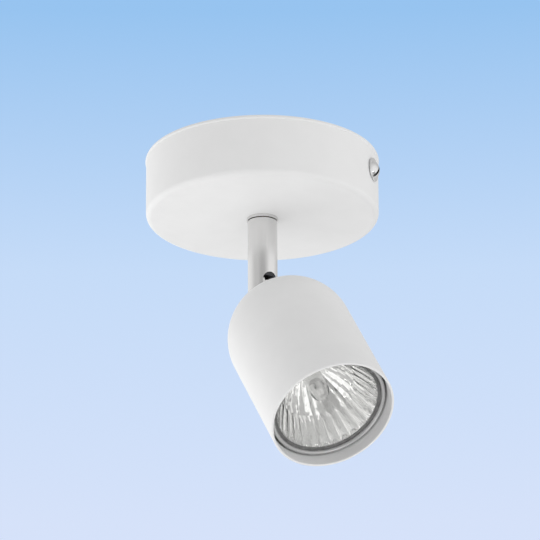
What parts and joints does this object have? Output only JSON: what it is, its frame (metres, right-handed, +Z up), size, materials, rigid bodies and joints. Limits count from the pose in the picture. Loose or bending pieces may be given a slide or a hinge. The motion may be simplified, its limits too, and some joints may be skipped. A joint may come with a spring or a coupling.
{
  "type": "ceiling spotlight",
  "caption": "Ceiling spotlight with a round canopy, a turning stem with a ball joint in a slotted tube, and a bullet-shaped shade holding a twist-lock reflector bulb.",
  "frame": {"origin": "centre of the ceiling plane, on the canopy's axis, where the bracket's top face meets the ceiling", "axes": "+Z up into the ceiling along the stem's swivel axis, -Y the way the shade tilts at rest, X the shade's tilt axis"},
  "size_m": [0.1006, 0.124, 0.1474],
  "materials": {
    "white_powder_coat": "fine matte powder coat",
    "zinc_plated_steel": "bright zinc plating",
    "chrome": "polished",
    "ivory_plastic": "moulded",
    "brass": "turned, bare",
    "earth_insulation": "extruded silicone",
    "brown_insulation": "extruded silicone",
    "blue_insulation": "extruded silicone",
    "satin_nickel": "satin, drawn along the tube",
    "dark_nylon": "moulded",
    "ceramic": "unglazed steatite",
    "mica": "pressed mica sheet",
    "nickel_wire": "plain",
    "mirrored_glass": "pressed glass with a mirror coat inside",
    "clear_glass": "clear",
    "tungsten": "drawn wire"
  },
  "bodies": {
    "canopy_body": {"canopy": "white_powder_coat", "ceiling_bracket": "zinc_plated_steel", "side_screws": "chrome", "terminal_block": "ivory_plastic", "clamp_sleeves": "brass", "clamp_screws": "zinc_plated_steel", "block_screw": "zinc_plated_steel", "earth_screw": "zinc_plated_steel", "earth_washer": "zinc_plated_steel", "earth_tag": "brass", "earth_lead": "earth_insulation", "canopy_live_lead": "brown_insulation", "canopy_neutral_lead": "blue_insulation", "slide_washer": "ivory_plastic", "stop_pin": "zinc_plated_steel", "stem_collar": "satin_nickel"},
    "stem_body": {"stem_nipple": "brass", "nipple_nut": "brass", "split_washer": "zinc_plated_steel", "stop_washer": "zinc_plated_steel", "stem_plug": "brass", "stem_tube": "satin_nickel", "ball_spring": "zinc_plated_steel", "ball_cup": "dark_nylon", "stem_live_lead": "brown_insulation", "stem_neutral_lead": "blue_insulation"},
    "head_body": {"swivel_ball": "chrome", "shade": "white_powder_coat", "dome_washer": "zinc_plated_steel", "holder_strap": "zinc_plated_steel", "neck_washer": "zinc_plated_steel", "neck_nut": "zinc_plated_steel", "lampholder": "ceramic", "holder_cover": "mica", "cover_rivet": "zinc_plated_steel", "holder_contacts": "brass", "holder_screws": "zinc_plated_steel", "head_live_lead": "brown_insulation", "head_neutral_lead": "blue_insulation"},
    "bulb_body": {"bulb_pins": "nickel_wire", "bulb_base": "ceramic", "bulb_reflector": "mirrored_glass", "bulb_cover_glass": "clear_glass", "bulb_capsule": "clear_glass", "bulb_filament": "tungsten", "bulb_supports": "nickel_wire"}
  },
  "joints": [
    {"name": "stem_swivel", "type": "hinge", "parent": "canopy_body", "child": "stem_body", "pos_m": [0, 0, -0.03], "axis": [0, 0, 1], "range_deg": [-165, 165]},
    {"name": "head_tilt", "type": "hinge", "parent": "stem_body", "child": "head_body", "pos_m": [0, 0, -0.058], "axis": [-1, 0, 0], "range_deg": [-35, 55]},
    {"name": "bulb_twist", "type": "hinge", "parent": "head_body", "child": "bulb_body", "pos_m": [0, 0, -0.058], "axis": [0, -0.5736, -0.8192], "range_deg": [0, 20]}
  ]
}
